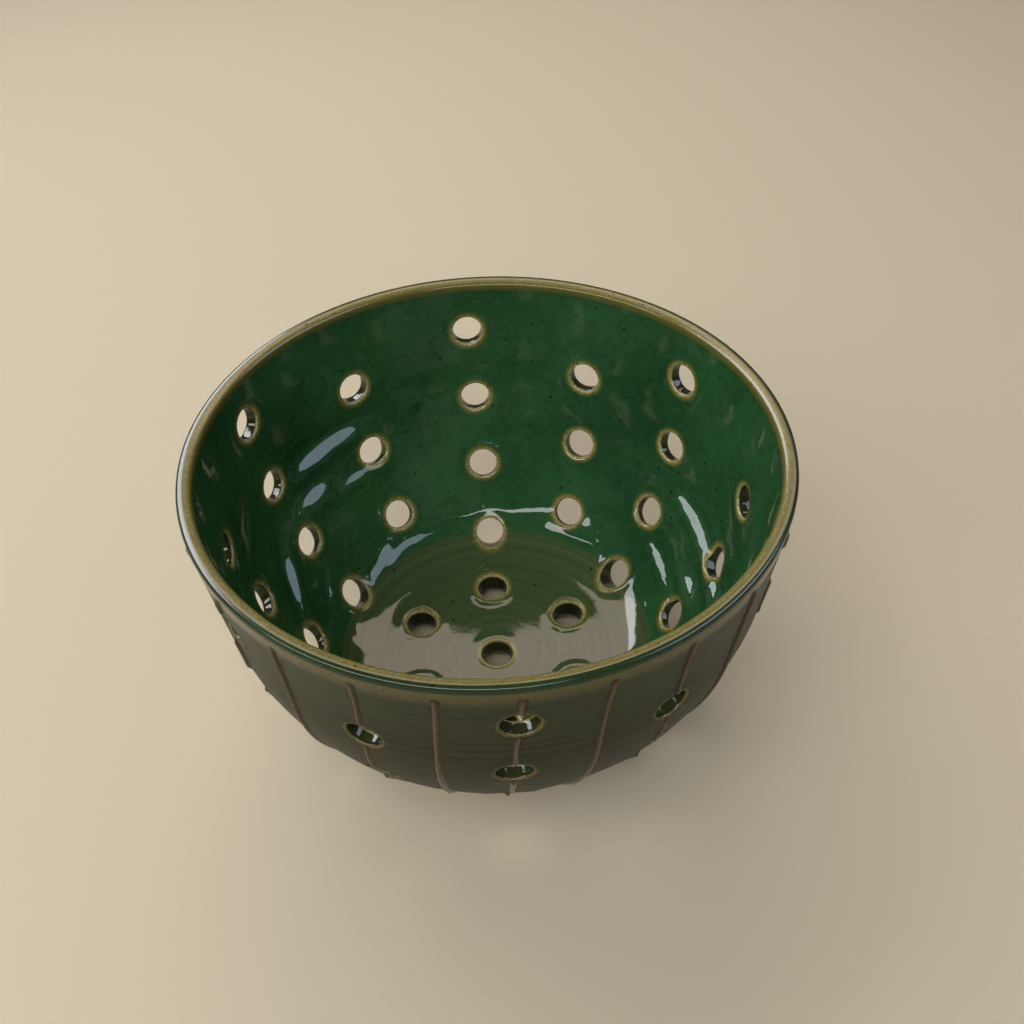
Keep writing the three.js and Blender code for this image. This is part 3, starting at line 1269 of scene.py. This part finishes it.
    def collar_half(
        self, sheet: Sheet, hole: Array, side: Side, loop: tuple[Array, Array], turn: Array
    ) -> tuple[Array, dict[str, Array]]:
        """Half of a collar: across the face from the loop to a circle, and over the hole's rounded edge.

        A point lies a share of the way from the loop's point to the circle at the same direction. Past the
        circle, the radius and the depth follow a quarter circle into the hole.

        Args:
            sheet: the wall or the floor.
            hole: angle and run of the hole.
            side: which face.
            loop: angles and runs of the cut-out's edge.
            turn: direction of each point of the loop from the hole's middle.

        Returns:
            The points and their attributes, in rows from the loop to the hole.
        """
        edge_round = sheet.edge_rounds[side]
        x_loop, y_loop = sheet.to_local(hole, *loop, side)
        spread = np.linspace(1.0, 0.0, self.spread_rows + 1)[1:]
        curl = np.linspace(0.0, math.pi / 2, self.edge_rows + 1)[1:]
        share = np.concatenate([spread, 0 * curl])[:, None]
        curl = np.concatenate([0 * spread, curl])[:, None]
        radius = self.wall.holes.radius + edge_round * (1 - np.sin(curl))
        depth = edge_round * (1 - np.cos(curl))
        x = (1 - share) * radius * np.cos(turn) + share * x_loop
        y = (1 - share) * radius * np.sin(turn) + share * y_loop
        angle, run = sheet.from_local(hole, x, y, side)
        points = sheet.point(angle, run, sheet.face(side, angle, run) - side.value * depth)
        looks = self.looks(side, run, sheet.edge(angle, run))
        in_tube = smooth_step(self.tube_from * edge_round, edge_round, depth)
        # the tube's dark brown is partly thick glaze and partly painted shade inside the hole
        tube_looks = {"cover": cover(self.tube_thin), "umber": self.tube_umber_and_shade, "grain": self.tube_grain}
        for name, value in tube_looks.items():
            looks[name] = blend(looks[name], value, in_tube)
        return points, looks

    def cut_out(self, sheet: Sheet, hole: Array, runs: Array) -> tuple[Array, Array]:
        """The rows and columns of the cells that a hole's collar takes the place of, with their far edges.

        Args:
            sheet: the wall or the floor.
            hole: angle and run of the hole.
            runs: the runs of the faces' rows.

        Returns:
            The numbers of the rows and of the columns, which may run past the last column.
        """
        reach = self.wall.holes.radius + self.collar_margin
        top = np.searchsorted(runs, hole[1] - reach, side="right") - 1
        bottom = np.searchsorted(runs, hole[1] + reach)
        ends = runs[[top, bottom]]
        places = sheet.point(hole[0], ends, sheet.face(Side.INNER, hole[0], ends))
        half_turn = reach / np.hypot(places[:, 0], places[:, 1]).min()
        step = math.tau / self.columns
        left, right = math.floor((hole[0] - half_turn) / step), math.ceil((hole[0] + half_turn) / step)
        return np.arange(top, bottom + 1), np.arange(left, right + 1)

    def pierce(
        self, sheet: Sheet, hole: Array, runs: Array, inner: Array, outer: Array
    ) -> tuple[Array, Array]:
        """Lead one hole through a sheet: a collar between two matching cut-outs in its faces.

        Args:
            sheet: the wall or the floor.
            hole: angle and run of the hole.
            runs: the runs of the faces' rows.
            inner: vertex numbers of the inner face, by rows.
            outer: vertex numbers of the outer face, by rows.

        Returns:
            The rows and the columns of the cells that the collar takes the place of.
        """
        rows, columns = self.cut_out(sheet, hole, runs)
        across, down = np.ones(len(columns) - 1, int), np.ones(len(rows) - 1, int)
        row_loop = np.concatenate([rows[0] * across, rows[:-1], rows[-1] * across, rows[:0:-1]])[::-1]
        column_loop = [columns[:-1], columns[-1] * down, columns[:0:-1], columns[0] * down]
        column_loop = np.concatenate(column_loop)[::-1]
        loop = (math.tau / self.columns * column_loop, runs[row_loop])
        local = [sheet.to_local(hole, *loop, side) for side in Side]
        turn = np.arctan2(sum(y for _, y in local), sum(x for x, _ in local))
        outside, looks = self.collar_half(sheet, hole, Side.OUTER, loop, turn)
        inside, inside_looks = self.collar_half(sheet, hole, Side.INNER, loop, turn)
        tube = blend(outside[-1], inside[-1], self.tube_share)
        for name, value in looks.items():
            in_tube = np.broadcast_to(value[-1], tube.shape[:-1])
            looks[name] = np.concatenate([value, in_tube, inside_looks[name][::-1]])
        ids = self.builder.add_points(np.concatenate([outside, tube, inside[::-1]]), **looks)
        wrapped = column_loop % self.columns
        strip = np.vstack([outer[row_loop, wrapped], ids, inner[row_loop, wrapped]])
        self.builder.add_quads(grid_quads(strip, wrap_columns=True))
        return rows[:-1], columns[:-1] % self.columns

    def build(self) -> Piece:
        """Join the rows to one closed grid, up the outside, over the lip, down the inside and back below.

        Returns:
            The bowl.
        """
        outer_wall = self.face_rows(self.wall, Side.OUTER, self.wall_runs)
        inner_wall = self.face_rows(self.wall, Side.INNER, self.wall_runs)
        floor_top = self.face_rows(self.floor, Side.INNER, self.floor_runs)
        underside = self.face_rows(self.floor, Side.OUTER, self.floor_runs)
        up_outside = [outer_wall[::-1], self.lip()]
        down_inside = [inner_wall, floor_top, self.middle_hole()]
        parts = [*up_outside, *down_inside, underside[::-1], self.base_corner()]
        starts = np.concatenate([[0], np.cumsum([len(part) for part in parts])])
        quads = grid_quads(np.vstack(parts), wrap_rows=True, wrap_columns=True)
        kept = np.ones(quads.shape[:2], dtype=bool)
        for sheet, runs, inner, outer, inner_start, outer_start in (
            (self.wall, self.wall_runs, inner_wall, outer_wall, starts[2], starts[0]),
            (self.floor, self.floor_runs, floor_top, underside, starts[3], starts[5]),
        ):
            last = outer_start + len(runs) - 2
            for hole in sheet.hole_places:
                rows, columns = self.pierce(sheet, hole, runs, inner, outer)
                kept[np.ix_(inner_start + rows, columns)] = False
                kept[np.ix_(last - rows, columns)] = False
        self.builder.add_quads(quads[kept])
        return self.builder.make("glazed_bowl")

    def dress(self, piece: Piece, glaze: bpy.types.Material) -> None:
        """Let the glazed bowl stand for its solid."""
        fit_piece(piece, "bowl_body", glaze)


@dataclass
class FootRing:
    """The ring of bare clay that the bowl stands on, a little narrower where it meets the ground."""

    outer: float
    height: float
    width: float = 6.0
    taper: float = 0.8
    corner_round: float = 0.9
    seat: float = 0.05
    columns: int = 240
    corner_steps: int = 5

    @property
    def inner(self) -> float:
        """Inner radius where the ring meets the base."""
        return self.outer - self.width

    def outline(self) -> Array:
        """The ring's section: four sides with their corners rounded off by bends.

        Returns:
            Radius and height of the points, inwards under the base and then around the foot.
        """
        top = self.height + self.seat
        corners = np.array([
            [self.outer, top],
            [self.inner, top],
            [self.inner + self.taper, 0.0],
            [self.outer - self.taper, 0.0],
        ])
        bends = []
        for i, corner in enumerate(corners):
            sides = np.array([corners[i - 1], corners[(i + 1) % len(corners)]]) - corner
            start, end = corner + sides / np.linalg.norm(sides, axis=1)[:, None] * self.corner_round
            bends.append(bend(start, corner, end, self.corner_steps))
        return np.vstack(bends)

    def build(self) -> Piece:
        """Carry the section once around the axis.

        Returns:
            The foot ring.
        """
        section = self.outline()
        angles = math.tau * np.arange(self.columns) / self.columns
        builder = MeshBuilder()
        points = around(section[:, :1], section[:, 1:], angles)
        ids = builder.add_points(points, run=section[:, :1] + section[:, 1:])
        builder.add_quads(grid_quads(ids, wrap_rows=True, wrap_columns=True))
        return builder.make("turned_foot")

    def dress(self, piece: Piece, clay: bpy.types.Material) -> None:
        """Let the bare ring stand for its solid."""
        fit_piece(piece, "foot_ring", clay)


@dataclass(frozen=True)
class Stretch:
    """One bead of slip between two places on a leaning line."""

    name: str
    node: str
    column: float
    start: float
    end: float
    start_kind: TrailEnd
    end_kind: TrailEnd


@dataclass
class SlipTrails:
    """The lines of slip trailed down the outside: beads that the glaze has softened into the wall."""

    wall: WallSheet
    umber: float
    width: float = 1.6
    height: float = 0.8
    start_drop: float = 2.5
    end_rise: float = 16.0
    blob: float = 2.4
    blob_sharpness: float = 3.0
    blob_ramp: tuple[float, float] = (-0.4, 3.4)
    hole_ramp: tuple[float, float] = (-0.2, 2.0)
    tail: float = 7.0
    tail_width: float = 0.55
    skirt: float = 1.2
    crest_thin: float = 0.46
    low_thin: float = 0.4
    grain: float = 0.35
    sink: float = 0.03
    root: float = 0.5
    hole_gap: float = 0.2
    lump: float = 0.08
    lump_length: float = 5.0
    lump_phase: float = 2.1
    wander: float = 0.25
    wander_length: float = 11.0
    wander_phase: float = 1.7
    wander_from: float = 6.0
    row_step: float = 0.9
    fewest_rows: int = 10
    crowding: float = 0.6
    across: int = 9

    def stretches(self) -> list[Stretch]:
        """The beads: a plain line between every two columns, and what the holes leave of the others.

        Returns:
            The stretches, from column to column.
        """
        holes = self.wall.holes
        end = holes.wall_length - self.end_rise
        found = []
        for column in range(holes.columns):
            label = f"{column + 1:02d}"
            start, kind = self.start_drop, TrailEnd.BLOB
            for i, drop in enumerate(holes.drops(column), 1):
                name, node = f"slip_line_{label}_part_{i}", f"pierced_trail_{label}_stretch_{i}"
                found.append(Stretch(name, node, column, start, drop, kind, TrailEnd.HOLE))
                start, kind = drop, TrailEnd.HOLE
            name, node = f"plain_slip_line_{label}", f"plain_trail_{label}"
            found.append(
                Stretch(name, node, column + 0.5, self.start_drop, end, TrailEnd.BLOB, TrailEnd.TAIL)
            )
        return found

    def end_run(self, at: float, kind: TrailEnd, x: Array, way: int) -> Array:
        """Where a bead ends at each distance across it: on the edge of a hole's circle, or square.

        Args:
            at: run of the hole's middle, or of the end itself.
            kind: how the bead ends.
            x: distances across the bead.
            way: 1 below a hole and -1 above it.

        Returns:
            The runs.
        """
        if kind is not TrailEnd.HOLE:
            return np.full(x.shape, at)
        reach = self.wall.holes.radius + self.hole_gap
        return at + way * np.sqrt(reach**2 - x**2)

    def bead(self, stretch: Stretch) -> tuple[Array, Array, Array, Array]:
        """The bead's surface: a cosine bump across, carried down the leaning line.

        The half width swells to a blob where the nozzle first touched and thins out at a tail. The height
        follows the width, and at a hole the bead bends down over the hole's rounded edge.

        Args:
            stretch: where the bead lies.

        Returns:
            Angle, run, distance out and thinness of the glaze, in rows down the line.
        """
        holes, reach = self.wall.holes, self.width / 2 * self.skirt
        x = np.linspace(-1.0, 1.0, self.across) * reach
        first = self.end_run(stretch.start, stretch.start_kind, x, 1)
        last = self.end_run(stretch.end, stretch.end_kind, x, -1)
        rows = max(self.fewest_rows, round((stretch.end - stretch.start) / self.row_step))
        even = np.linspace(0.0, 1.0, rows)
        share = blend(even, (1 - np.cos(math.pi * even)) / 2, self.crowding)[:, None]
        run = blend(first, last, share)
        done, left = run - first, last - run
        plump = 1 + self.lump * np.sin(run / self.lump_length + self.lump_phase * stretch.column)
        rise = np.ones(run.shape)
        if stretch.start_kind is TrailEnd.BLOB:
            swollen = np.exp(-self.blob_sharpness * ((done - self.blob / 2) / self.blob) ** 2)
            plump = plump + (self.blob / self.width - 1) * swollen
            rise = rise * smooth_step(*self.blob_ramp, done)
        if stretch.end_kind is TrailEnd.TAIL:
            fading = smooth_step(0.0, self.tail, left)
            plump = plump * blend(self.tail_width, 1, fading)
            rise = rise * fading
        for kind, gap in ((stretch.start_kind, done), (stretch.end_kind, left)):
            if kind is TrailEnd.HOLE:
                rise = rise * smooth_step(*self.hole_ramp, gap)
        stray = self.wander * np.sin(run / self.wander_length + self.wander_phase * stretch.column)
        stray = stray * smooth_step(0.0, self.wander_from, done)
        radius = self.wall.line.place(run, self.wall.thickness / 2)[0]
        angle = holes.line_angle(stretch.column, run) + (x * plump + stray) / radius
        bump = (1 + np.cos(math.pi * x / reach)) / 2
        drop = holes.edge_drop(self.wall.edge(angle, run), self.wall.edge_rounds[Side.OUTER])
        crest = self.height * plump * rise * bump
        out = self.wall.face(Side.OUTER, angle, run) - drop + crest - self.sink
        thin = self.crest_thin * bump * np.clip(self.low_thin + rise, 0.0, 1.0)
        return angle, run, out, thin

    def build(self, stretch: Stretch) -> Piece:
        """Close a bead with a root that is sunk into the wall, and with strips across its two ends.

        Args:
            stretch: where the bead lies.

        Returns:
            The bead.
        """
        angle, run, out, thin = self.bead(stretch)
        below = out.min(axis=1, keepdims=True) - self.root + 0 * out
        top = self.wall.point(angle, run, out)
        root = self.wall.point(angle, run, below)
        builder = MeshBuilder()
        ids = builder.add_points(
            np.concatenate([top, root[:, ::-1]], axis=1),
            cover=cover(np.concatenate([thin, thin[:, ::-1]], axis=1)),
            olive=0.0,
            umber=self.umber,
            run=np.concatenate([run, run[:, ::-1]], axis=1),
            grain=self.grain,
        )
        upper, under = ids[:, : self.across], ids[:, : self.across - 1 : -1]
        builder.add_quads(grid_quads(ids, wrap_columns=True)[..., ::-1])
        builder.add_quads(grid_quads(np.stack([upper[0], under[0]])))
        builder.add_quads(grid_quads(np.stack([under[-1], upper[-1]])))
        return builder.make(stretch.name)

    def dress(self, piece: Piece, stretch: Stretch, glaze: bpy.types.Material) -> None:
        """Let a glazed bead stand for its solid."""
        fit_piece(piece, stretch.node, glaze)


@dataclass(frozen=True)
class PaleGround:
    """Plain matt paper in a warm cream, which gives the glaze an even pale ground to mirror."""

    name: str = "matt_cream_paper"
    paper: str = "#d2c6ab"
    roughness: float = 0.9
    half_size: float = 1100.0
    clearance: float = 0.05

    def build(self) -> Piece:
        """Lay a flat sheet just below the foot.

        Returns:
            The ground, which isn't part of the bowl.
        """
        material, tree = new_material(self.name)
        finish = {"Base Color": hex_to_linear(self.paper), "Roughness": self.roughness}
        add_node(tree, "OutputMaterial", [add_node(tree, "BsdfPrincipled", finish)])
        x, y = np.meshgrid([-self.half_size, self.half_size], [-self.half_size, self.half_size])
        builder = MeshBuilder()
        ids = builder.add_points(np.stack([x, y, np.full(x.shape, -self.clearance)], axis=-1))
        builder.add_quads(grid_quads(ids))
        ground = builder.make("ground")
        ground.data.materials.append(material)
        return ground


@dataclass(frozen=True)
class Softbox:
    """A soft rectangular lamp that faces the bowl, in metres; azimuths run from +Y towards +X."""

    name: str
    azimuth: float
    elevation: float
    width: float
    height: float
    radiance: float
    colour: str
    distance: float
    use: LampUse

    def build(self, target: Vector) -> Piece:
        """Hang the lamp.

        Args:
            target: the point that it faces.

        Returns:
            The lamp.
        """
        light = bpy.data.lights.new(self.name, "AREA")
        light.shape = "RECTANGLE"
        light.size, light.size_y = self.width, self.height
        light.energy = self.radiance * math.pi * self.width * self.height
        light.color = hex_to_linear(self.colour)[:3]
        azimuth, elevation = math.radians(self.azimuth), math.radians(self.elevation)
        level = math.cos(elevation)
        away = Vector((math.sin(azimuth) * level, math.cos(azimuth) * level, math.sin(elevation)))
        lamp = bpy.data.objects.new(self.name, light)
        lamp.visible_diffuse = self.use is LampUse.LIGHT
        lamp.visible_glossy = self.use is LampUse.SHINE
        lamp.location = target + away * self.distance
        lamp.rotation_euler = away.to_track_quat("Z", "Y").to_euler()
        bpy.context.scene.collection.objects.link(lamp)
        return lamp


@dataclass(frozen=True)
class Viewpoint:
    """The place and aim of the camera that took the photograph, as fitted to the bowl in it."""

    place: tuple[float, float, float] = (0.0, -225.7, 291.6)
    dip: float = 44.06
    yaw: float = 1.56
    roll: float = -1.74
    focal_share: float = 1105 / 1024
    sensor: float = 36.0

    def build(self) -> Piece:
        """Set the camera up.

        Returns:
            The camera.
        """
        dip, yaw, roll = (math.radians(angle) for angle in (self.dip, self.yaw, self.roll))
        level = math.cos(dip)
        forward = Vector((math.sin(yaw) * level, math.cos(yaw) * level, -math.sin(dip)))
        flat = forward.cross(Vector((0, 0, 1))).normalized()
        upright = flat.cross(forward)
        right = flat * math.cos(roll) + upright * math.sin(roll)
        up = upright * math.cos(roll) - flat * math.sin(roll)
        camera = bpy.data.cameras.new("viewpoint")
        camera.sensor_width = self.sensor
        camera.lens = self.sensor * self.focal_share
        holder = bpy.data.objects.new("viewpoint", camera)
        turn = Matrix((right, up, -forward)).transposed().to_4x4()
        holder.matrix_world = Matrix.Translation(Vector(self.place) * MILLIMETRE) @ turn
        bpy.context.scene.collection.objects.link(holder)
        return holder


@dataclass
class Studio:
    """A pale ground under soft lamps, seen from where the photograph was taken."""

    ground: PaleGround = field(default_factory=PaleGround)
    viewpoint: Viewpoint = field(default_factory=Viewpoint)
    lamps: tuple[Softbox, ...] = (
        Softbox("back_softbox", -5, 52, 1.6, 0.26, 6.6, "#ffe3d6", 1.1, LampUse.SHINE),
        Softbox("back_left_key", -24, 50, 1.2, 0.7, 2.1, "#fff8f0", 1.0, LampUse.LIGHT),
        Softbox("front_fill", -160, 52, 1.0, 0.7, 3.0, "#ffffff", 1.1, LampUse.LIGHT),
        Softbox("left_lamp", -108, 26, 0.9, 0.5, 1.3, "#ffffff", 1.0, LampUse.LIGHT),
        Softbox("front_window", -152, 35, 1.8, 0.24, 13.5, "#ffffff", 1.0, LampUse.SHINE),
        Softbox("left_window", -50, 38, 1.1, 0.38, 14.0, "#f4f8ff", 1.0, LampUse.SHINE),
        Softbox("right_lamp", 102, 34, 0.9, 0.56, 7.0, "#d9e6ff", 1.0, LampUse.SHINE),
    )
    room: str = "#efe9dc"
    fill: float = 0.14
    seen: float = 0.95

    def build(self, target: Vector) -> None:
        """Set up the ground, the lamps, the soft light of the room, and the camera.

        Args:
            target: the point that the lamps face.
        """
        scene = bpy.context.scene
        self.ground.build()
        for lamp in self.lamps:
            lamp.build(target)
        scene.world = self.light_of_room()
        scene.camera = self.viewpoint.build()
        scene.view_settings.view_transform = "Standard"

    def light_of_room(self) -> bpy.types.World:
        """A weak even light from all around, and a pale plain background for the camera alone.

        Returns:
            The world.
        """
        world = bpy.data.worlds.new("soft_room")
        world.use_nodes = True
        tree = world.node_tree
        tree.nodes.clear()
        lit, seen = (
            add_node(tree, "Background", {"Color": hex_to_linear(self.room), "Strength": strength})
            for strength in (self.fill, self.seen)
        )
        by_camera = add_node(tree, "LightPath", output="Is Camera Ray")
        add_node(tree, "OutputWorld", [add_node(tree, "MixShader", [by_camera, lit, seen])])
        return world


@dataclass(frozen=True)
class BowlSection:
    """Sizes of the thrown section that the boxes of the solids don't give; the shoulder's are shares."""

    thickness: float = 4.0
    floor_depth: float = 5.5
    base_radius: float = 46.0
    shoulder_radius: float = 0.9
    shoulder_height: float = 0.482
    # radius of the painted highlight line along the floor's crease
    crease_highlight_radius: float = 47.0

    def line(self, rim_radius: float, top: float, underside: float) -> WallLine:
        """The middle line of the wall.

        Args:
            rim_radius: outer radius of the lip.
            top: height of the lip.
            underside: height of the base.

        Returns:
            The line, half a thickness inside these sizes.
        """
        half = self.thickness / 2
        return WallLine(
            lip=np.array([rim_radius - half, top - half]),
            shoulder=np.array([self.shoulder_radius * rim_radius, self.shoulder_height * top]),
            base=np.array([self.base_radius, underside + half]),
        )


def main() -> None:
    """Build the bowl, its foot and its slip trails, and then the studio around them."""
    logging.basicConfig(level=logging.INFO, format="%(name)s: %(message)s")
    body_low, body_high = (np.array(corner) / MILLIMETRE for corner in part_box("bowl_body"))
    foot_high = np.array(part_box("foot_ring")[1]) / MILLIMETRE
    rim_radius, top, underside = body_high[0], body_high[2], body_low[2]
    section = BowlSection()
    line = section.line(rim_radius, top, underside)
    foot = FootRing(outer=foot_high[0], height=foot_high[2])
    wall = WallSheet(
        line=line,
        holes=DrainHoles(wall_length=line.length, foot_inner=foot.inner),
        thickness=section.thickness,
        floor_top=underside + section.floor_depth,
        outside=HandThrown(seed=3, wave_height=0.08, ring_height=0.015, ring_pitch=6.5, swell_height=0.1),
        inside=HandThrown(
            seed=8,
            wave_height=0.12,
            ring_height=0.008,
            ring_pitch=7.5,
            swell_height=0.12,
            ripple_height=0.1,
            wrinkle_height=0.04,
        ),
    )
    bowl = ThrownBowl(wall, FloorSheet(wall, section.base_radius, underside), foot.outer)
    trails = SlipTrails(wall, umber=1.0)
    # where the painted crease highlight lies on the floor
    crease_highlight = float(wall.inner_run(section.crease_highlight_radius))
    glaze = CopperGreenGlaze("copper_green_glaze_on_stoneware", crease_highlight=crease_highlight).material()
    slip_glaze = CopperGreenGlaze("copper_green_glaze_on_trailed_slip", toffee="#624c31").material()
    bowl.dress(bowl.build(), glaze)
    foot.dress(foot.build(), BareStoneware("bare_toasted_stoneware").material())
    for stretch in trails.stretches():
        trails.dress(trails.build(stretch), stretch, slip_glaze)
    Studio().build(Vector((0, 0, top / 2)) * MILLIMETRE)


if __name__ == "__main__":
    main()
